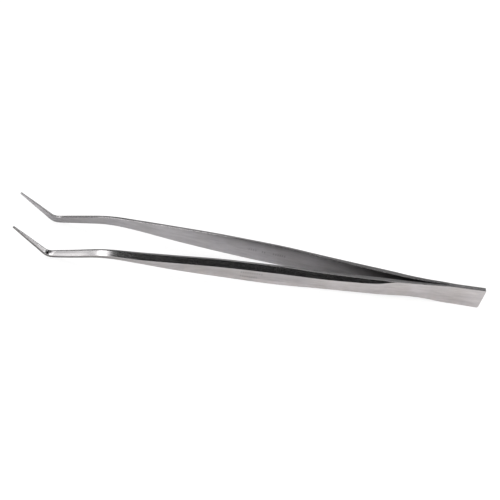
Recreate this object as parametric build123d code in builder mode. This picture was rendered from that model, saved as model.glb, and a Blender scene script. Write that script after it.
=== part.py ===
from build123d import *
import os
from collections import namedtuple
from itertools import pairwise
from math import cos, hypot, radians, sin, tan

# Long aquascaping tweezers with angled tips: two sprung steel arms, spot-welded
# together at the rear end.
#
# Frame, in millimetres: X runs along the tweezers, with the rear end at +X and the
# tips at -X. Y is the way the arms open, with the left arm at -Y. Z is up: the
# tweezers lie on the lower edges of their arms. The origin is on the floor, under
# the middle of the bounding box.

# ---- driving dimensions ----------------------------------------------------------
AXIS_HEIGHT = 7.75      # height of an arm's centreline along its straight part
STRAIGHT_LENGTH = 210.0  # rear end to the shoulder
SHOULDER_LENGTH = 16.0  # centreline length of the curve that turns down to the neck
NECK_ANGLE = -11.0      # the neck falls towards the bend, degrees
NECK_LENGTH = 20.9
BEND_RADIUS = 7.0       # centreline radius where the tip is bent up
TIP_ANGLE = 36.0        # the tip rises from the bend, degrees
TIP_LENGTH = 22.13
BEVEL_TILT = 22.0       # the bevels lean this far from the outer face, degrees
LENGTH = 270.0          # overall, rear end to tip points

HINGE_DISTANCE = 45.0   # rear end to the middle of the flexing stretch
HINGE_CLEARANCE = 0.05  # between the tang and the blade of one arm
WELD_LENGTH = 16.0      # length over which the tangs lie face to face
TANG_THICKNESS = 1.5
TANG_HEIGHT = 13.0      # at the rear end
EDGE_BREAK = 0.15       # small chamfer on every long edge
REAR_LEAN = 1.7         # the rear end is cut at a slant, shorter at its lower corner
REAR_LOWER_RADIUS = 1.0  # rounded corners of the rear end
REAR_UPPER_RADIUS = 0.5

WELD_DIAMETER = 4.0
WELD_HALF_DEPTH = 0.6   # how far a weld nugget reaches into each tang
WELD_COUNT = 3
WELD_PITCH = 5.0
WELD_HEIGHT = 6.5

GRIP_LENGTH = 11.0      # serrated stretch on the inner face behind each point
GRIP_PITCH = 0.8
GRIP_GROOVE = 0.2       # side of the square whose corner cuts a groove
GRIP_SETBACK = 0.9      # from the point to the first groove

# Sections of an arm, by distance along the centreline from the rear end.
# above and below: from the centreline up to the top edge and down to the lower edge
# gap: from the mid-plane of the tweezers to the inner face
# land: width of the top edge, from the inner face to the upper bevel
# upper and lower: heights of the two bevels ground on the outer side
Station = namedtuple("Station", "distance above below gap land upper lower")

BEVEL_LEAN = tan(radians(BEVEL_TILT))
TANG_LAND = TANG_THICKNESS - EDGE_BREAK * BEVEL_LEAN
WAIST = Station(HINGE_DISTANCE, 3.90, 5.60, 1.35, 2.30, 0.22, 0.22)
WELD_STATIONS = [
    Station(0.0, 5.25, 7.75, 0.00, TANG_LAND, EDGE_BREAK, EDGE_BREAK),
    Station(WELD_LENGTH, 4.80, 7.75, 0.00, TANG_LAND, EDGE_BREAK, EDGE_BREAK),
]
TANG_STATIONS = [
    WELD_STATIONS[-1],
    Station(24.0, 4.60, 7.30, 0.25, 1.65, 0.20, 0.20),
    Station(34.0, 4.10, 6.10, 0.70, 1.95, 0.20, 0.20),
    WAIST,
]
BEND_START = STRAIGHT_LENGTH + SHOULDER_LENGTH + NECK_LENGTH
BEND_LENGTH = BEND_RADIUS * radians(TIP_ANGLE - NECK_ANGLE)
TIP_START = BEND_START + BEND_LENGTH
PATH_LENGTH = TIP_START + TIP_LENGTH
BLADE_STATIONS = [
    WAIST._replace(distance=HINGE_DISTANCE + HINGE_CLEARANCE),
    Station(52.0, 4.00, 5.90, 1.85, 2.60, 0.30, 0.30),
    Station(56.0, 4.05, 5.98, 2.18, 2.65, 0.90, 0.70),
    Station(61.0, 4.15, 6.15, 2.58, 2.65, 1.95, 1.50),
    Station(67.0, 4.20, 6.30, 3.12, 2.60, 2.60, 2.35),
    Station(78.0, 4.35, 6.40, 4.25, 2.40, 3.00, 2.75),
    Station(95.0, 4.75, 6.50, 6.00, 1.95, 3.55, 2.90),
    Station(120.0, 5.70, 7.25, 8.12, 1.50, 4.00, 3.45),
    Station(150.0, 5.55, 6.60, 10.05, 1.42, 4.00, 3.55),
    Station(180.0, 4.30, 5.20, 12.20, 1.40, 3.75, 3.30),
    Station(200.0, 3.35, 3.45, 13.45, 1.40, 3.60, 2.60),
    Station(STRAIGHT_LENGTH, 2.95, 2.85, 13.95, 1.35, 3.20, 2.20),
    Station(STRAIGHT_LENGTH + SHOULDER_LENGTH, 2.50, 2.40, 14.60, 1.25, 2.75, 1.85),
    Station(BEND_START - NECK_LENGTH / 2, 2.20, 2.35, 14.92, 1.20, 2.60, 1.65),
    Station(BEND_START, 1.95, 2.16, 15.08, 1.10, 2.25, 1.45),
    Station(BEND_START + BEND_LENGTH / 2, 1.80, 1.90, 15.12, 1.05, 2.00, 1.35),
    Station(TIP_START, 1.65, 1.50, 15.14, 1.00, 1.65, 1.20),
    Station(TIP_START + TIP_LENGTH / 2, 1.20, 1.05, 15.18, 0.80, 1.05, 0.85),
    Station(PATH_LENGTH, 0.58, 0.50, 15.20, 0.55, 0.40, 0.30),
]
# A new loft starts at each of these distances, so that the bevel's start, the shoulder
# and the bend each keep their own curve.
LOFT_ENDS = [HINGE_DISTANCE, 67.0, STRAIGHT_LENGTH, BEND_START, TIP_START, PATH_LENGTH]

# The rounded upper corner draws the slanted rear end in a little.
REAR_SLANT = REAR_LEAN / TANG_HEIGHT
REAR_X = LENGTH / 2 + REAR_UPPER_RADIUS * (REAR_SLANT + hypot(1, REAR_SLANT) - 1)


# ---- the line and the sections that both arms follow -------------------------------
def centreline(distance):
    """x, z and rise in degrees of an arm's centreline, at a distance along it."""
    runs = [
        (STRAIGHT_LENGTH, 0.0),
        (SHOULDER_LENGTH, NECK_ANGLE),
        (NECK_LENGTH, 0.0),
        (BEND_LENGTH, TIP_ANGLE - NECK_ANGLE),
        (TIP_LENGTH, 0.0),
    ]
    x, z, rise = REAR_X, AXIS_HEIGHT, 0.0
    for length, turn in runs:
        step = min(distance, length)
        half_turn = radians(turn * step / length / 2)
        chord = step * sin(half_turn) / half_turn if half_turn else step
        x -= chord * cos(radians(rise) + half_turn)
        z += chord * sin(radians(rise) + half_turn)
        rise += turn * step / length
        distance -= step
    return x, z, rise


def section_plane(distance, gap):
    """Plane across the left arm: local x outwards, local y up, on its inner face."""
    x, z, rise = centreline(distance)
    along = (-cos(radians(rise)), 0, sin(radians(rise)))
    return Plane(origin=(x, -gap, z), x_dir=(0, -1, 0), z_dir=along)


def thickness(station):
    """From the inner face to the outer one, in the middle of a section."""
    return station.land + station.upper * BEVEL_LEAN


def section_outline(station):
    """Corners of a section: a bar with broken inner edges and bevelled outer edges."""
    top, bottom = station.above, -station.below
    outer = thickness(station)
    return [
        (0, bottom + EDGE_BREAK),
        (EDGE_BREAK, bottom),
        (outer - station.lower * BEVEL_LEAN, bottom),
        (outer, bottom + station.lower),
        (outer, top - station.upper),
        (station.land, top),
        (EDGE_BREAK, top),
        (0, top - EDGE_BREAK),
    ]


def section(station):
    """The section at one station, as a face in its place on the left arm."""
    with BuildSketch(section_plane(station.distance, station.gap)) as face:
        with BuildLine():
            Polyline(*section_outline(station), close=True)
        make_face()
    return face.sketch


# ---- the welded rear ends of the arms ----------------------------------------------
def weld_spots():
    """Sketch the row of spot welds on the mid-plane."""
    with BuildSketch(Plane.XZ) as spots:
        middle = REAR_X - WELD_LENGTH / 2
        with Locations((middle, WELD_HEIGHT)):
            with GridLocations(WELD_PITCH, 1, WELD_COUNT, 1):
                Circle(WELD_DIAMETER / 2)
    return spots.sketch


def thicker(station, extra):
    """The same section before its outer face is ground off, with its edge breaks drawn on."""
    return station._replace(upper=station.upper + extra, lower=station.lower + extra)


def build_left_tang():
    """Rear of the left arm: a flat welded plate that thickens to the flexing stretch."""
    with BuildPart() as tang:
        loft([section(thicker(station, EDGE_BREAK)) for station in WELD_STATIONS], ruled=True)
        with BuildSketch(Plane.XZ):
            with BuildLine():
                side = FilletPolyline(
                    (REAR_X - WELD_LENGTH, 0),
                    (REAR_X - REAR_LEAN, 0),
                    (REAR_X, TANG_HEIGHT),
                    (REAR_X - WELD_LENGTH, TANG_HEIGHT),
                    radius=[REAR_LOWER_RADIUS, REAR_UPPER_RADIUS],
                )
                Line(side @ 1, side @ 0)
            make_face()
        extrude(amount=TANG_THICKNESS, mode=Mode.INTERSECT)
        extrude(weld_spots(), amount=WELD_HALF_DEPTH, mode=Mode.SUBTRACT)
        loft([section(station) for station in TANG_STATIONS])
    return tang.part


def build_spot_welds():
    """The fused nuggets that hold the two tangs together."""
    with BuildPart() as welds:
        extrude(weld_spots(), amount=WELD_HALF_DEPTH, both=True)
    return welds.part


# ---- the moving blades of the arms -------------------------------------------------
def build_left_blade():
    """The left arm from its flexing stretch to the point, with a serrated inner tip."""
    with BuildPart() as blade:
        for start, end in pairwise(LOFT_ENDS):
            loft([section(station) for station in BLADE_STATIONS if start <= station.distance <= end])
        first_groove = PATH_LENGTH - GRIP_SETBACK
        grooves = [first_groove - GRIP_PITCH * k for k in range(int(GRIP_LENGTH / GRIP_PITCH))]
        tip_gap = BLADE_STATIONS[-1].gap
        with Locations(*[section_plane(distance, tip_gap) for distance in grooves]):
            Box(GRIP_GROOVE, 4 * GRIP_GROOVE + 4, GRIP_GROOVE, rotation=(0, 45, 0), mode=Mode.SUBTRACT)
    return blade.part


def write_node(shape, name):
    """Label a finished piece and write it as one STEP file."""
    shape.label = name
    export_step(shape, f"parts/{name}.step")


os.makedirs("parts", exist_ok=True)
left_tang = build_left_tang()
left_blade = build_left_blade()
write_node(left_tang, "left_arm_tang")
write_node(mirror(left_tang, about=Plane.XZ), "right_arm_tang")
write_node(build_spot_welds(), "spot_welds")
write_node(left_blade, "left_arm_blade")
write_node(mirror(left_blade, about=Plane.XZ), "right_arm_blade")
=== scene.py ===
from math import cos, hypot, pi, radians, sin, tan

import bpy
import numpy as np
from mathutils import Matrix, Vector


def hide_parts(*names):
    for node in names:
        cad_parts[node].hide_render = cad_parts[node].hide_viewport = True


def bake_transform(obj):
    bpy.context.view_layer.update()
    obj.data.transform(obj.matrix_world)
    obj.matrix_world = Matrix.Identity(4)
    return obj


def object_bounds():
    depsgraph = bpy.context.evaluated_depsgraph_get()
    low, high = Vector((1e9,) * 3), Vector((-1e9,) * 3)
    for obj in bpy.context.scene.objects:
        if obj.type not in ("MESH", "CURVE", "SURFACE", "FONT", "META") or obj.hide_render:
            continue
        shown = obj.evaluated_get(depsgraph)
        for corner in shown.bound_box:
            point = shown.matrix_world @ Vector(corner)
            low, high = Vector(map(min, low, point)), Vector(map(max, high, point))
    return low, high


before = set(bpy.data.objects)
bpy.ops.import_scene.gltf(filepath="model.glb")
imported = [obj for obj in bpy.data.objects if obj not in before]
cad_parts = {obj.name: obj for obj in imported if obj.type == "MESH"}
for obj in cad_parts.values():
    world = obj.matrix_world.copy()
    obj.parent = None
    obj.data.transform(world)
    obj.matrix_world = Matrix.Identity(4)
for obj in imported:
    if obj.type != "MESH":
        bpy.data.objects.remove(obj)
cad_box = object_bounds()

# Long aquascaping tweezers with angled tips: two sprung steel arms, spot-welded
# together at the rear end. X runs along them, with the rear end at +X, and the arms open
# along Y, the left arm towards -Y. The driving dimensions and sections follow those of the
# CAD model, in millimetres; every mesh, light and material is in metres.
MM = 0.001

# ---- driving dimensions, millimetres ------------------------------------------------
AXIS_HEIGHT = 7.75
STRAIGHT_LENGTH = 210.0
SHOULDER_LENGTH = 16.0
NECK_ANGLE = -11.0
NECK_LENGTH = 20.9
BEND_RADIUS = 7.0
TIP_ANGLE = 36.0
TIP_LENGTH = 22.13
BEVEL_TILT = 22.0        # the bevels lean this far from the outer face, degrees
WELD_LENGTH = 16.0       # length over which the two arms lie face to face
TANG_HEIGHT = 13.0       # at the rear end
REAR_LEAN = 1.7          # the rear end is cut at a slant, shorter at its lower corner
REAR_LOWER_RADIUS = 1.0
REAR_UPPER_RADIUS = 0.5
END_ROUNDING = 0.2       # edge break round the rear end
POINT_ROUNDING = 0.35    # the point is rounded over this length
POINT_INSET = 0.22       # and draws in by this much

GRIP_LENGTH = 11.0
GRIP_PITCH = 0.8
GRIP_DEPTH = 0.14
GRIP_SETBACK = 0.9

BEND_START = STRAIGHT_LENGTH + SHOULDER_LENGTH + NECK_LENGTH
BEND_LENGTH = BEND_RADIUS * radians(TIP_ANGLE - NECK_ANGLE)
TIP_START = BEND_START + BEND_LENGTH
PATH_LENGTH = TIP_START + TIP_LENGTH
RUNS = [
    (STRAIGHT_LENGTH, 0.0),
    (SHOULDER_LENGTH, NECK_ANGLE),
    (NECK_LENGTH, 0.0),
    (BEND_LENGTH, TIP_ANGLE - NECK_ANGLE),
    (TIP_LENGTH, 0.0),
]
REAR_SLANT = REAR_LEAN / TANG_HEIGHT
# The rounded upper corner draws the slanted rear end in a little.
REAR_X = cad_box[1][0] / MM + REAR_UPPER_RADIUS * (REAR_SLANT + hypot(1, REAR_SLANT) - 1)

# Sections of an arm: distance from the rear end, above and below the centreline, gap
# from the mid-plane to the inner face, width of the upper land, and heights of the
# upper and lower bevels of the outer side. The heights and gaps started from a fit to the
# photograph's outline, and were rounded and changed.
STATIONS = np.array([
    (0.0, 5.25, 7.75, 0.00, 1.42, 0.20, 0.20),
    (WELD_LENGTH, 4.80, 7.75, 0.00, 1.42, 0.20, 0.20),
    (24.0, 4.60, 7.30, 0.25, 1.65, 0.20, 0.20),
    (34.0, 4.10, 6.10, 0.70, 1.95, 0.20, 0.20),
    (45.0, 3.90, 5.60, 1.35, 2.30, 0.22, 0.22),
    (52.0, 4.00, 5.90, 1.85, 2.60, 0.30, 0.30),
    (56.0, 4.05, 5.98, 2.18, 2.65, 0.90, 0.70),
    (61.0, 4.15, 6.15, 2.58, 2.65, 1.95, 1.50),
    (67.0, 4.20, 6.30, 3.12, 2.60, 2.60, 2.35),
    (78.0, 4.35, 6.40, 4.25, 2.40, 3.00, 2.75),
    (95.0, 4.75, 6.50, 6.00, 1.95, 3.55, 2.90),
    (120.0, 5.70, 7.25, 8.12, 1.50, 4.00, 3.45),
    (150.0, 5.55, 6.60, 10.05, 1.42, 4.00, 3.55),
    (180.0, 4.30, 5.20, 12.20, 1.40, 3.75, 3.30),
    (200.0, 3.35, 3.45, 13.45, 1.40, 3.60, 2.60),
    (STRAIGHT_LENGTH, 2.95, 2.85, 13.95, 1.35, 3.20, 2.20),
    (STRAIGHT_LENGTH + SHOULDER_LENGTH, 2.50, 2.40, 14.60, 1.25, 2.75, 1.85),
    (BEND_START - NECK_LENGTH / 2, 2.20, 2.35, 14.92, 1.20, 2.60, 1.65),
    (BEND_START, 1.95, 2.16, 15.08, 1.10, 2.25, 1.45),
    (BEND_START + BEND_LENGTH / 2, 1.80, 1.90, 15.12, 1.05, 2.00, 1.35),
    (TIP_START, 1.65, 1.50, 15.14, 1.00, 1.65, 1.20),
    (TIP_START + TIP_LENGTH / 2, 1.20, 1.05, 15.18, 0.80, 1.05, 0.85),
    (PATH_LENGTH, 0.58, 0.50, 15.20, 0.55, 0.40, 0.30),
])

# Each section is a weighted average of five, so that no station shows as a kink. They
# are taken up to this far to both sides: distances from the rear end, and reaches.
SMOOTHING = [0, 16, 30, 60, 90, 200, 215, 245, PATH_LENGTH], [0, 2, 3, 2, 8, 6, 3, 1, 0]
SMOOTHING_WEIGHTS = (1, 4, 6, 4, 1)


# ---- camera ---------------------------------------------------------------------------
CAMERA_AZIMUTH = -6.92   # degrees from looking along +Y
CAMERA_ELEVATION = 38.0
CAMERA_ROLL = 13.39
CAMERA_DISTANCE = 0.8996
CAMERA_TARGET = Vector((-0.0028, 0.0, 0.01426))
CAMERA_LENS = 114.95
CAMERA_CLIP_END = 20


def add_camera():
    """The photograph's view: from the left and above, turned about its own axis."""
    azimuth, elevation, roll = map(radians, (CAMERA_AZIMUTH, CAMERA_ELEVATION, CAMERA_ROLL))
    forward = Vector((-sin(azimuth) * cos(elevation), cos(azimuth) * cos(elevation), -sin(elevation)))
    right = Vector((cos(azimuth), sin(azimuth), 0))
    up = right.cross(forward)
    turned_right = right * cos(roll) + up * sin(roll)
    turned_up = up * cos(roll) - right * sin(roll)
    data = bpy.data.cameras.new("camera")
    data.lens = CAMERA_LENS
    data.clip_end = CAMERA_CLIP_END
    camera = bpy.data.objects.new("camera", data)
    bpy.context.scene.collection.objects.link(camera)
    rotation = Matrix((turned_right, turned_up, -forward)).transposed().to_4x4()
    camera.matrix_world = Matrix.Translation(CAMERA_TARGET - forward * CAMERA_DISTANCE) @ rotation
    bpy.context.scene.camera = camera


# ---- the line and the sections that both arms follow ----------------------------------
def centreline(distance):
    """x, z and rise (radians) of an arm's centreline, at a distance along it."""
    x, z, rise = REAR_X, AXIS_HEIGHT, 0.0
    for length, turn in RUNS:
        step = min(distance, length)
        half_turn = radians(turn * step / length / 2)
        chord = step * sin(half_turn) / half_turn if half_turn else step
        x -= chord * cos(rise + half_turn)
        z += chord * sin(rise + half_turn)
        rise += 2 * half_turn
        distance -= step
    return x, z, rise


def monotone_slopes(x, y):
    """Slopes at the knots that keep a cubic curve through them free of overshoot."""
    steps = np.diff(x)
    secants = np.diff(y) / steps
    slopes = np.zeros(len(x))
    slopes[0], slopes[-1] = secants[0], secants[-1]
    for k in range(1, len(x) - 1):
        if secants[k - 1] * secants[k] > 0:
            before = 2 * steps[k] + steps[k - 1]
            after = steps[k] + 2 * steps[k - 1]
            slopes[k] = (before + after) / (before / secants[k - 1] + after / secants[k])
    return slopes


KNOTS = STATIONS[:, 0]
SLOPES = np.array([monotone_slopes(KNOTS, column) for column in STATIONS.T[1:]])


def cubic_sizes(distance):
    """above, below, gap, land, upper and lower, by a cubic curve through the stations."""
    distance = min(max(distance, 0.0), PATH_LENGTH)
    k = min(int(np.searchsorted(KNOTS, distance, side="right")) - 1, len(KNOTS) - 2)
    step = KNOTS[k + 1] - KNOTS[k]
    t = (distance - KNOTS[k]) / step
    start, end = STATIONS[k, 1:], STATIONS[k + 1, 1:]
    value = start * (1 + 2 * t) * (1 - t) ** 2 + end * t * t * (3 - 2 * t)
    return value + step * (SLOPES[:, k] * t * (1 - t) ** 2 - SLOPES[:, k + 1] * t * t * (1 - t))


def sizes(distance):
    """The sizes averaged over a stretch to both sides of a distance."""
    reach = np.interp(distance, *SMOOTHING)
    middle = len(SMOOTHING_WEIGHTS) // 2
    total = 0
    for k, weight in enumerate(SMOOTHING_WEIGHTS):
        total = total + weight * cubic_sizes(distance + reach * (k - middle) / middle)
    return total / sum(SMOOTHING_WEIGHTS)


def corner_loss(distance, radius):
    """How much a rounded rear corner takes off the height, at a distance from the end."""
    if distance >= radius:
        return 0.0
    return radius - (radius**2 - (radius - distance) ** 2) ** 0.5


# Each corner of a section is an arc of ARC_POINTS with one support point either side,
# which keeps the flats flat in smooth shading.
ARC_POINTS = 5
SUPPORT = 0.06           # from the arc to a support point
ROUNDED_SHARE = 0.36     # at most this share of a side is rounded off at each end
SUPPORT_SHARE = 0.3      # and a support point stands off by at most this share of that
INNER_RADIUS, RIM_RADIUS, LAND_RADIUS = 0.16, 0.35, 0.12
RIDGE_RADII = (70, 200, 230), (0.3, 0.5, 1.2)  # between flat and bevels, by distance


def rounded(corners, radii):
    """Points round a polygon with rounded corners; corners run one way round."""
    points = []
    count = len(corners)
    for k, (corner, radius) in enumerate(zip(corners, radii)):
        to_last = corners[k - 1] - corner
        to_next = corners[(k + 1) % count] - corner
        room = ROUNDED_SHARE * min(to_last.length, to_next.length)
        inside = to_last.angle(to_next)
        tangent = min(radius / tan(inside / 2), room)
        radius = tangent * tan(inside / 2)
        last, following = to_last.normalized(), to_next.normalized()
        centre = corner + (last + following).normalized() * (radius / sin(inside / 2))
        start = corner + last * tangent
        end = corner + following * tangent
        support = min(SUPPORT, SUPPORT_SHARE * room)
        points.append(start + last * support)
        sweep = (start - centre).angle_signed(end - centre)
        for j in range(ARC_POINTS):
            turn = Matrix.Rotation(-sweep * j / (ARC_POINTS - 1), 2)
            points.append(centre + turn @ (start - centre))
        points.append(end + following * support)
    return points


def section(distance, inset=0.0):
    """Points round a section, as (outwards, up) from the inner face and centreline."""
    above, below, gap, land, upper, lower = sizes(distance)
    above -= corner_loss(distance, REAR_UPPER_RADIUS) + inset
    below -= corner_loss(distance, REAR_LOWER_RADIUS) + inset
    lean = tan(radians(BEVEL_TILT))
    thickness = land + upper * lean - inset
    corners = [
        Vector((inset, -below)),
        Vector((thickness - lower * lean, -below)),
        Vector((thickness, lower - below)),
        Vector((thickness, above - upper)),
        Vector((thickness - upper * lean, above)),
        Vector((inset, above)),
    ]
    ridge = np.interp(distance, *RIDGE_RADII)
    radii = (INNER_RADIUS, LAND_RADIUS, ridge, ridge, LAND_RADIUS, RIM_RADIUS)
    return rounded(corners, radii), gap


# ---- arm meshes -----------------------------------------------------------------------
RING_STEP = 1.0          # between the rings of the straight part and the neck
FINE_MARGIN = 4.0        # the fine rings of the bend start and end this far from it
FINE_RINGS = 45
TIP_RING_STEP = 0.5      # from there to the grip
ROUNDING_STEPS = 8       # rings over a rounded end or corner
SHARP_ANGLE = 30.0       # edges sharper than this aren't shaded smooth, degrees

LEFT, RIGHT = -1, 1      # the side of an arm, as the sign of Y
SIDES = 6
CORNER_POINTS = ARC_POINTS + 2
RIM_CORNER = 5           # between the upper land and the inner face
FLAT, POLISHED, EDGE, INNER, LOWER, RIM = range(6)
SIDE_FINISH = [EDGE, LOWER, FLAT, POLISHED, EDGE, INNER]  # lower land first


def groove_distances():
    """Where the grooves of the grip cross the centreline, from the point backwards."""
    first = PATH_LENGTH - GRIP_SETBACK
    return [first - GRIP_PITCH * k for k in range(int(GRIP_LENGTH / GRIP_PITCH))]


def ring_distances():
    """Distances of the rings: close together where an arm is rounded, bent or serrated."""
    quarter = [1 - cos(pi / 2 * k / ROUNDING_STEPS) for k in range(ROUNDING_STEPS + 1)]
    rings = []
    for radius in (END_ROUNDING, REAR_UPPER_RADIUS, REAR_LOWER_RADIUS):
        rings += [radius * q for q in quarter]
    fine_start, fine_end = BEND_START - FINE_MARGIN, TIP_START + FINE_MARGIN
    rings += list(np.arange(REAR_LOWER_RADIUS + RING_STEP, fine_start, RING_STEP))
    rings += list(np.linspace(fine_start, fine_end, FINE_RINGS))
    grooves = groove_distances()
    rings += list(np.arange(fine_end + TIP_RING_STEP, grooves[-1] - TIP_RING_STEP, TIP_RING_STEP))
    for offset in (-GRIP_PITCH / 2, -GRIP_DEPTH, 0, GRIP_DEPTH):
        rings += [groove + offset for groove in grooves]
    rings += [PATH_LENGTH - POINT_ROUNDING * q for q in quarter]
    return sorted({round(float(d), 4) for d in rings})


def end_inset(distance):
    """How far the sections draw in at the broken edge of the rear end and at the point."""
    from_rear = 1 - min(distance / END_ROUNDING, 1)
    into_point = max(1 - (PATH_LENGTH - distance) / POINT_ROUNDING, 0)
    rear = END_ROUNDING * (1 - (1 - from_rear**2) ** 0.5)
    return rear + POINT_INSET * (1 - (1 - into_point**2) ** 0.5)


def ring(distance, side, grooves):
    """Points round one arm at a distance, in metres."""
    points, gap = section(distance, end_inset(distance))
    in_groove = any(abs(distance - groove) < GRIP_DEPTH / 2 for groove in grooves)
    cut = GRIP_DEPTH if in_groove else 0.0
    x, z, rise = centreline(distance)
    slant = REAR_SLANT * max(1 - distance / WELD_LENGTH, 0)
    placed = []
    for out, up in points:
        height = z + up * cos(rise)
        along = x + up * sin(rise) - slant * (TANG_HEIGHT - height)
        placed.append(Vector((along, side * (gap + max(out, cut)), height)) * MM)
    return placed


def finish_of(column):
    """The finish of the faces between two neighbouring points of every ring."""
    corner, step = divmod(column, CORNER_POINTS)
    if corner == RIM_CORNER and 0 < step < ARC_POINTS:
        return RIM
    before_corner = step < CORNER_POINTS // 2
    return SIDE_FINISH[(corner - 1) % SIDES if before_corner else corner]


def build_arm(name, side, materials):
    """One whole arm as a skin of quads over its rings, closed at both ends."""
    grooves = groove_distances()
    rings = [ring(distance, side, grooves) for distance in ring_distances()]
    count = len(rings[0])
    faces, finishes = [], []
    for k in range(len(rings) - 1):
        for j in range(count):
            here, beside = k * count + j, k * count + (j + 1) % count
            faces.append((here, beside, beside + count, here + count))
            finishes.append(finish_of(j))
    faces.append(tuple(range(count - 1, -1, -1)))
    faces.append(tuple(range((len(rings) - 1) * count, len(rings) * count)))
    finishes += [EDGE, EDGE]
    if side == RIGHT:
        faces = [tuple(reversed(face)) for face in faces]
    mesh = bpy.data.meshes.new(name)
    mesh.from_pydata([point for points in rings for point in points], [], faces)
    for material in materials:
        mesh.materials.append(material)
    mesh.polygons.foreach_set("material_index", finishes)
    mesh.polygons.foreach_set("use_smooth", [True] * len(faces))
    mesh.set_sharp_from_angle(angle=radians(SHARP_ANGLE))
    mesh.update()
    arm = bpy.data.objects.new(name, mesh)
    bpy.context.scene.collection.objects.link(arm)
    return arm


# ---- materials ------------------------------------------------------------------------
# Darkest and lightest colour of each finish.
SATIN_COLOURS = (0.78, 0.735, 0.72), (0.85, 0.81, 0.825)
# The inner faces' colours are darker than the outer flats' as painted shade.
INNER_COLOURS = (0.615, 0.595, 0.60), (0.68, 0.66, 0.685)
POLISHED_COLOURS = (0.53, 0.515, 0.52), (0.57, 0.555, 0.56)
EDGE_COLOURS = (0.44, 0.43, 0.435), (0.52, 0.51, 0.515)
RIM_COLOURS = (0.55, 0.53, 0.54), (0.62, 0.60, 0.605)
WELD_COLOURS = (0.16, 0.15, 0.15), (0.34, 0.32, 0.31)
NOISE_ROUGHNESS = 0.6
STREAK_CONTRAST = 0.11   # of the streaks on ground faces, up and down

# Tones along the arms, set while comparing renders with the photograph: stops of
# (X in metres, factor). They are painted light: painted highlights, painted reflections
# and painted shade.
# Painted highlight on the neck and painted shade at the point and along the rest of the outer flats.
FLAT_PAINTED_LIGHT = [
    (-0.117, 0.36), (-0.111, 1.2), (-0.088, 1.2), (-0.075, 0.76), (-0.045, 0.80),
    (-0.01, 0.74), (0.03, 0.77), (0.05, 0.93), (0.07, 0.87), (0.13, 0.87),
]
# Painted shade on the lower bevels, deepest at the point and along the neck.
LOWER_PAINTED_SHADE = [
    (-0.12, 0.3), (-0.085, 0.45), (-0.065, 0.68), (-0.03, 0.85), (0.05, 0.95), (0.13, 0.87),
]
# Painted shade on the inner faces, deepest towards the weld and a little near the tip.
INNER_PAINTED_SHADE = [
    (-0.13, 1.0), (-0.115, 0.72), (-0.085, 0.75), (-0.065, 0.9), (-0.045, 1.03),
    (-0.01, 1.06), (0.03, 0.88), (0.05, 0.68), (0.07, 0.55), (0.09, 0.3),
]
# Painted highlights and painted shade on the polished bevels: bright towards the bend, dark at the
# point, and dips that shade the edges of the shoulder's highlight.
POLISHED_PAINTED_LIGHT = [
    (-0.132, 0.6), (-0.127, 1.0), (-0.121, 1.3), (-0.1185, 1.5), (-0.112, 0.85),
    (-0.096, 1.0), (-0.092, 0.8), (-0.0893, 0.58), (-0.0878, 0.5), (-0.0866, 0.8),
    (-0.0855, 1.0), (-0.083, 1.0), (-0.0785, 0.65), (-0.068, 1.0), (0.0, 1.0), (0.04, 0.7),
]
# Painted shade on the edges and cut ends, deepest at the point, the neck and the weld.
EDGE_PAINTED_SHADE = [
    (-0.12, 0.26), (-0.11, 0.32), (-0.084, 0.33), (-0.074, 0.36), (-0.068, 0.66),
    (-0.06, 0.8), (-0.01, 1.0), (0.03, 0.55), (0.13, 0.36),
]
# Painted highlight on the rim at the bend and from the shoulder to the middle of the arm, painted
# shade elsewhere.
RIM_PAINTED_LIGHT = [
    (-0.12, 0.3), (-0.1145, 0.3), (-0.1135, 1.6), (-0.111, 1.6), (-0.110, 0.35), (-0.1, 0.3),
    (-0.091, 0.4), (-0.0855, 1.5), (-0.03, 1.5), (-0.018, 1.3), (-0.01, 0.6), (0.13, 0.4),
]
# Painted glint and painted dark reflection at the bend: bands that rise towards the rear, by X -
# BEND_LEAN * Z.
BEND_LEAN = 0.68
BEND_PAINTED_REFLECTION = [
    (-0.1195, 1.0), (-0.1186, 1.5), (-0.1174, 1.8), (-0.1167, 0.5), (-0.1161, 0.08),
    (-0.1151, 0.12), (-0.1147, 0.5), (-0.1142, 1.2), (-0.1137, 1.6), (-0.1131, 1.5),
    (-0.1127, 1.0),
]
# Painted highlight on the lower part of the neck's bevel, along the neck, by Z - NECK_LEAN * X.
NECK_LEAN = tan(radians(-NECK_ANGLE))
NECK_PAINTED_HIGHLIGHT = [(0.0236, 1.5), (0.0245, 1.45), (0.0251, 1.0), (0.0262, 1.0)]
NECK_FADE = (-0.100, -0.090)   # along X
# Painted shade on the upper part of the inner face, by Z.
INNER_PAINTED_TOP_SHADE = [
    (0.001, 1.0), (0.007, 1.0), (0.0095, 0.88), (0.0115, 0.72), (0.0126, 0.52), (0.0133, 0.38),
]
INNER_HEIGHT_FADE = (-0.055, -0.015)   # along X

# The marks etched into the arms, in metres: rows of short plain bars, each row given
# by its start and end along X and its height.
ETCH_HEIGHT, ETCH_PITCH, ETCH_FILL = 0.0013, 0.0013, 0.45
ETCH_DARKNESS = 0.7      # tone of a bar against the steel round it
OUTER_ROWS = [(-0.0065, 0.0065, 0.0076), (-0.0065, 0.003, 0.0049)]
INNER_ROWS = [(-0.0035, 0.0025, 0.0075), (0.0045, 0.0075, 0.0073), (0.0115, 0.0190, 0.0073)]


def new_material(name):
    """A node material with its main shader, as (material, nodes, links, shader)."""
    material = bpy.data.materials.new(name)
    material.use_nodes = True
    nodes, links = material.node_tree.nodes, material.node_tree.links
    return material, nodes, links, nodes["Principled BSDF"]


def new_metal(name):
    """The same for bare metal."""
    material, nodes, links, shader = new_material(name)
    shader.inputs["Metallic"].default_value = 1.0
    return material, nodes, links, shader


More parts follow.
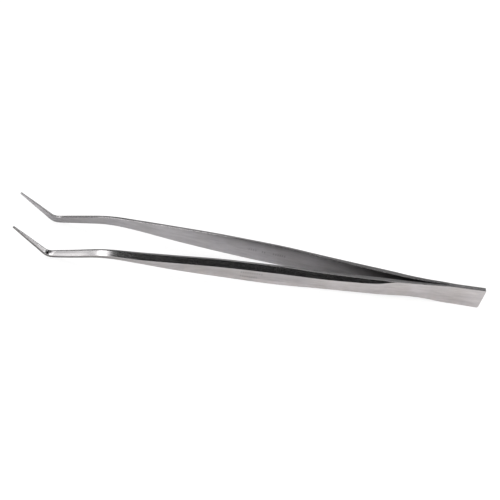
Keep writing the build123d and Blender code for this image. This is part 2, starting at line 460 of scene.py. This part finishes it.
def stretched_noise(nodes, links, scale, detail=4.0):
    """Noise in object space with its own scale along each axis, in features per metre."""
    coordinates = nodes.new("ShaderNodeTexCoord")
    stretch = nodes.new("ShaderNodeMapping")
    stretch.inputs["Scale"].default_value = scale
    noise = nodes.new("ShaderNodeTexNoise")
    noise.inputs["Scale"].default_value = 1.0
    noise.inputs["Detail"].default_value = detail
    noise.inputs["Roughness"].default_value = NOISE_ROUGHNESS
    links.new(coordinates.outputs["Object"], stretch.inputs["Vector"])
    links.new(stretch.outputs["Vector"], noise.inputs["Vector"])
    return noise.outputs["Fac"]


def ramp(nodes, links, factor, *stops):
    """A colour ramp over a factor; each stop is (position, colour)."""
    node = nodes.new("ShaderNodeValToRGB")
    elements = node.color_ramp.elements
    while len(elements) < len(stops):
        elements.new(0.5)
    for element, (position, colour) in zip(elements, stops):
        element.position = position
        element.color = (*colour, 1)
    links.new(factor, node.inputs["Fac"])
    return node.outputs["Color"]


def remapped(nodes, links, value, source=(0.0, 1.0), target=(0.0, 1.0)):
    """A value taken from one range to another, and kept within it."""
    node = nodes.new("ShaderNodeMapRange")
    node.inputs["From Min"].default_value, node.inputs["From Max"].default_value = source
    node.inputs["To Min"].default_value, node.inputs["To Max"].default_value = target
    links.new(value, node.inputs["Value"])
    return node.outputs["Result"]


def bump(nodes, links, height, distance, strength):
    """Bump from a height map, distance being its full depth in metres."""
    node = nodes.new("ShaderNodeBump")
    node.inputs["Distance"].default_value = distance
    node.inputs["Strength"].default_value = strength
    links.new(height, node.inputs["Height"])
    return node.outputs["Normal"]


def computed(nodes, links, operation, *values):
    """A Math node over sockets and plain numbers."""
    node = nodes.new("ShaderNodeMath")
    node.operation = operation
    for socket, value in zip(node.inputs, values):
        if isinstance(value, (int, float)):
            socket.default_value = value
        else:
            links.new(value, socket)
    return node.outputs["Value"]


def position(nodes, links):
    """X, Y and Z of the shaded point in object space, as sockets."""
    coordinates = nodes.new("ShaderNodeTexCoord")
    split = nodes.new("ShaderNodeSeparateXYZ")
    links.new(coordinates.outputs["Object"], split.inputs["Vector"])
    return split.outputs


def multiplied(nodes, links, tint, factor):
    """A tint multiplied by another colour or a number."""
    product = nodes.new("ShaderNodeMix")
    product.data_type = "RGBA"
    product.blend_type = "MULTIPLY"
    product.inputs["Factor"].default_value = 1.0
    links.new(tint, product.inputs["A"])
    links.new(factor, product.inputs["B"])
    return product.outputs["Result"]


def faded(nodes, links, first, second, fade):
    """One tint before the start of a fade along X and another after its end."""
    mix = nodes.new("ShaderNodeMix")
    mix.data_type = "RGBA"
    along = position(nodes, links)["X"]
    links.new(remapped(nodes, links, along, source=fade), mix.inputs["Factor"])
    links.new(first, mix.inputs["A"])
    links.new(second, mix.inputs["B"])
    return mix.outputs["Result"]


def toned(nodes, links, tint, axis, stops, lean=0.0):
    """A tint made darker or lighter along X or Z; each stop is (metres, factor). With a
    lean, the bands of equal tone rise towards the rear."""
    x, _, z = position(nodes, links)
    value, other = (x, z) if axis == "X" else (z, x)
    if lean:
        value = computed(nodes, links, "MULTIPLY_ADD", other, -lean, value)
    low, high = stops[0][0], stops[-1][0]
    reach = remapped(nodes, links, value, source=(low, high))
    greys = [((metres - low) / (high - low), (factor,) * 3) for metres, factor in stops]
    return multiplied(nodes, links, tint, ramp(nodes, links, reach, *greys))


def etched_row(nodes, links, tint, side, start, end, height):
    """A row of short plain bars etched into one arm, from start to end along X."""
    x, y, z = position(nodes, links)
    within = computed(nodes, links, "COMPARE", x, (start + end) / 2, (end - start) / 2)
    level = computed(nodes, links, "COMPARE", z, height, ETCH_HEIGHT / 2)
    facing = computed(nodes, links, "GREATER_THAN", computed(nodes, links, "MULTIPLY", y, side), 0)
    phase = computed(nodes, links, "FRACT", computed(nodes, links, "DIVIDE", x, ETCH_PITCH))
    bars = computed(nodes, links, "LESS_THAN", phase, ETCH_FILL)
    mask = within
    for part in (level, facing, bars):
        mask = computed(nodes, links, "MULTIPLY", mask, part)
    return multiplied(nodes, links, tint, remapped(nodes, links, mask, target=(1.0, ETCH_DARKNESS)))


def satin_steel(name, colours, painted_light):
    """Ground faces, as (material, nodes, links, shader, tint): a fine grain across
    the arm, streaks along it, soft cloudy patches, and painted light and shade along it."""
    material, nodes, links, shader = new_metal(name)
    clouds = stretched_noise(nodes, links, (90, 90, 40))
    grain = stretched_noise(nodes, links, (2600, 300, 90), detail=6)
    streaks = stretched_noise(nodes, links, (90, 500, 700), detail=5)
    dark, light = colours
    patches = ramp(nodes, links, clouds, (0.30, dark), (0.70, light))
    faint, strong = (1 - STREAK_CONTRAST,) * 3, (1 + STREAK_CONTRAST,) * 3
    marks = ramp(nodes, links, streaks, (0.30, faint), (0.70, strong))
    # Painted light and shade along the arm, multiplied into the patches.
    tint = multiplied(nodes, links, toned(nodes, links, patches, "X", painted_light), marks)
    links.new(remapped(nodes, links, grain, target=(0.27, 0.43)), shader.inputs["Roughness"])
    links.new(bump(nodes, links, grain, 2e-6, 0.5), shader.inputs["Normal"])
    return material, nodes, links, shader, tint


def flat_steel():
    """Outer flats, brightest on the neck by a painted highlight, with painted shade elsewhere and
    etched bars on the left arm.
    """
    material, nodes, links, shader, tint = satin_steel("flat_steel", SATIN_COLOURS, FLAT_PAINTED_LIGHT)
    for row in OUTER_ROWS:
        tint = etched_row(nodes, links, tint, LEFT, *row)
    links.new(tint, shader.inputs["Base Color"])
    return material


def lower_steel():
    """Lower bevels of the outer sides, with painted shade along the neck and the tip."""
    material, _, links, shader, tint = satin_steel("lower_steel", SATIN_COLOURS, LOWER_PAINTED_SHADE)
    links.new(tint, shader.inputs["Base Color"])
    return material


def inner_steel():
    """Inner faces, with painted shade towards the weld and, from the middle of the arm to
    the rear, towards their upper edge, with etched bars on the right arm."""
    material, nodes, links, shader, tint = satin_steel("inner_steel", INNER_COLOURS, INNER_PAINTED_SHADE)
    # Painted shade towards the upper edge, faded in from the middle of the arm to the rear.
    shaded = toned(nodes, links, tint, "Z", INNER_PAINTED_TOP_SHADE)
    tint = faded(nodes, links, tint, shaded, INNER_HEIGHT_FADE)
    for row in INNER_ROWS:
        tint = etched_row(nodes, links, tint, RIGHT, *row)
    links.new(tint, shader.inputs["Base Color"])
    return material


def polished_steel():
    """Polished bevels, with faint marks of the wheel along the arm, and painted highlights, painted
    shade and painted reflections along it.
    """
    material, nodes, links, shader = new_metal("polished_steel")
    marks = stretched_noise(nodes, links, (22, 900, 900), detail=5)
    haze = stretched_noise(nodes, links, (120, 120, 120), detail=3)
    dark, light = POLISHED_COLOURS
    tint = ramp(nodes, links, haze, (0.35, dark), (0.65, light))
    tint = toned(nodes, links, tint, "X", POLISHED_PAINTED_LIGHT)
    # Painted glint and painted dark reflection at the bend, and a painted highlight on the lower part
    # of the neck's bevel.
    tint = toned(nodes, links, tint, "X", BEND_PAINTED_REFLECTION, lean=BEND_LEAN)
    neck = toned(nodes, links, tint, "Z", NECK_PAINTED_HIGHLIGHT, lean=NECK_LEAN)
    links.new(faded(nodes, links, neck, tint, NECK_FADE), shader.inputs["Base Color"])
    links.new(remapped(nodes, links, marks, target=(0.07, 0.17)), shader.inputs["Roughness"])
    links.new(bump(nodes, links, marks, 1e-6, 0.4), shader.inputs["Normal"])
    return material


def scratched_steel(name, colours, painted_light):
    """Narrow edges with fine scratches and painted light and shade along the arm, as
    (material, nodes, links, shader, scratches)."""
    material, nodes, links, shader = new_metal(name)
    scratches = stretched_noise(nodes, links, (120, 2200, 2200), detail=5)
    dark, light = colours
    tint = ramp(nodes, links, scratches, (0.3, dark), (0.7, light))
    # Painted light and shade along the arm.
    links.new(toned(nodes, links, tint, "X", painted_light), shader.inputs["Base Color"])
    return material, nodes, links, shader, scratches


def edge_steel():
    """Upper and lower edges and the cut ends: a coarser grind along the arm, with painted shade."""
    material, nodes, links, shader, scratches = scratched_steel("edge_steel", EDGE_COLOURS, EDGE_PAINTED_SHADE)
    links.new(remapped(nodes, links, scratches, target=(0.24, 0.38)), shader.inputs["Roughness"])
    links.new(bump(nodes, links, scratches, 2e-6, 0.5), shader.inputs["Normal"])
    return material


def rim_steel():
    """Rounded upper inner edges, with a painted highlight at the bend and from the shoulder
    to the middle of the arm, and painted shade elsewhere."""
    material, nodes, links, shader, scratches = scratched_steel("rim_steel", RIM_COLOURS, RIM_PAINTED_LIGHT)
    links.new(remapped(nodes, links, scratches, target=(0.2, 0.34)), shader.inputs["Roughness"])
    return material


def weld_steel():
    """Fused metal of the spot welds, hidden between the arms."""
    material, nodes, links, shader = new_metal("weld_steel")
    ripples = stretched_noise(nodes, links, (900, 900, 900), detail=6)
    dark, light = WELD_COLOURS
    links.new(ramp(nodes, links, ripples, (0.3, dark), (0.7, light)), shader.inputs["Base Color"])
    links.new(remapped(nodes, links, ripples, target=(0.45, 0.7)), shader.inputs["Roughness"])
    links.new(bump(nodes, links, ripples, 2e-5, 0.6), shader.inputs["Normal"])
    return material


# ---- stage ----------------------------------------------------------------------------
# In metres and relative brightness. The camera sees one floor, and the steel reflects and
# is lit by another just below it.
FLOOR_HALF = 6.0
FLOOR_DROP = 0.0001
FLOOR_ALBEDO = 0.75
SEEN_FLOOR_ALBEDO = 0.35
FLOOR_GLOW = 0.75
MATT_ROUGHNESS = 0.9
CARD_ALBEDO = 0.01
FRONT_Y = -1.0                        # where the dark card stands
CARD_LEFT, CARD_RIGHT = -0.085, 0.75
CARD_BOTTOM, CARD_TOP = 0.02, 0.35
STRIP_WIDTH = 0.09                    # a narrow light beside the card's left edge
ROOM_SPAN = (-0.5, 0.7)               # from front to back, as the Y of a direction
ROOM_FRONT, ROOM_BACK = (0.12,) * 3, (0.33,) * 3

# name, centre, the point it faces, width, height, radiance
LIGHTS = [
    ("front_left", (-1.2, -1.3, 1.25), (0, 0, 0), 1.4, 1.0, 3.4),
    ("front_right", (1.0, -1.1, 1.1), (0, 0, 0), 1.4, 1.0, 4.0),
    ("back_left", (-1.3, 1.2, 1.25), (0, 0, 0), 1.4, 1.0, 3.4),
    ("back_right", (1.3, 1.1, 1.25), (0, 0, 0), 1.4, 1.0, 3.4),
    ("front_wall", (0, -1.6, 0.2), (0, 0, 0.1), 3.2, 0.4, 0.9),
    ("strip", (CARD_LEFT - STRIP_WIDTH / 2, FRONT_Y, 0.15), (-0.1, 0, 0.01), STRIP_WIDTH, 0.3, 2.4),
    ("low_back", (0.85, 1.2, 0.35), (0, 0, 0), 0.6, 0.35, 1.0),
]


def plane(name, centre, right, up, material):
    """A rectangle on the stage, given by its centre and its two half sides."""
    centre, right, up = Vector(centre), Vector(right), Vector(up)
    corners = [centre + right * a + up * b for a, b in ((-1, -1), (1, -1), (1, 1), (-1, 1))]
    mesh = bpy.data.meshes.new(name)
    mesh.from_pydata(corners, [], [(0, 1, 2, 3)])
    mesh.materials.append(material)
    stage_piece = bpy.data.objects.new(name, mesh)
    bpy.context.scene.collection.objects.link(stage_piece)
    return stage_piece


def matt(name, albedo):
    """A matt grey surface, as (material, shader)."""
    material, _, _, shader = new_material(name)
    shader.inputs["Base Color"].default_value = (albedo,) * 3 + (1,)
    shader.inputs["Roughness"].default_value = MATT_ROUGHNESS
    shader.inputs["Specular IOR Level"].default_value = 0.0
    return material, shader


def floor_white(albedo, glow):
    """Matt white table top, which can glow a little, as a light table does."""
    material, shader = matt("floor_white", albedo)
    shader.inputs["Emission Color"].default_value = (1, 1, 1, 1)
    shader.inputs["Emission Strength"].default_value = glow
    return material


def black_card():
    """Matt black card, which the polished bevels reflect."""
    return matt("black_card", CARD_ALBEDO)[0]


def softbox(name, centre, target, width, height, radiance):
    """A soft rectangular light; radiance is how bright its face looks."""
    light = bpy.data.lights.new(name, "AREA")
    light.shape = "RECTANGLE"
    light.size, light.size_y = width, height
    light.energy = radiance * pi * width * height
    lamp = bpy.data.objects.new(name, light)
    bpy.context.scene.collection.objects.link(lamp)
    lamp.location = centre
    lamp.rotation_euler = (Vector(target) - Vector(centre)).to_track_quat("-Z", "Y").to_euler()
    lamp.visible_camera = False


def room_world():
    """A grey room, darker in front than behind."""
    world = bpy.data.worlds.new("room")
    world.use_nodes = True
    nodes, links = world.node_tree.nodes, world.node_tree.links
    direction = nodes.new("ShaderNodeTexCoord")
    split = nodes.new("ShaderNodeSeparateXYZ")
    links.new(direction.outputs["Generated"], split.inputs["Vector"])
    back = remapped(nodes, links, split.outputs["Y"], source=ROOM_SPAN)
    grey = ramp(nodes, links, back, (0, ROOM_FRONT), (1, ROOM_BACK))
    links.new(grey, nodes["Background"].inputs["Color"])
    bpy.context.scene.world = world


def add_floor(name, height, material):
    """A wide floor at a height."""
    return plane(name, (0, 0, height), (FLOOR_HALF, 0, 0), (0, FLOOR_HALF, 0), material)


def add_card():
    """The dark card, which shows only in reflections."""
    middle = ((CARD_LEFT + CARD_RIGHT) / 2, FRONT_Y, (CARD_BOTTOM + CARD_TOP) / 2)
    half_width, half_height = (CARD_RIGHT - CARD_LEFT) / 2, (CARD_TOP - CARD_BOTTOM) / 2
    card = plane("card", middle, (half_width, 0, 0), (0, 0, half_height), black_card())
    card.visible_camera = card.visible_diffuse = card.visible_shadow = False


def add_stage():
    """Floors, lights and room, and a dark card in front of a bright wall."""
    seen = add_floor("floor", 0, floor_white(SEEN_FLOOR_ALBEDO, FLOOR_GLOW))
    seen.visible_diffuse = seen.visible_glossy = seen.visible_shadow = False
    lit = add_floor("floor_reflected", -FLOOR_DROP, floor_white(FLOOR_ALBEDO, 0.0))
    lit.visible_camera = False
    add_card()
    for light in LIGHTS:
        softbox(*light)
    room_world()
    bpy.context.scene.view_settings.view_transform = "Standard"


# ---- scene ----------------------------------------------------------------------------
add_camera()
add_stage()
steel = [flat_steel(), polished_steel(), edge_steel(), inner_steel(), lower_steel(), rim_steel()]
for side, hand in ((LEFT, "left"), (RIGHT, "right")):
    arm = build_arm(f"{hand}_arm", side, steel)
    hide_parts(f"{hand}_arm_tang", f"{hand}_arm_blade")
    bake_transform(arm)

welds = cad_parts["spot_welds"]
welds.data.materials.clear()
welds.data.materials.append(weld_steel())
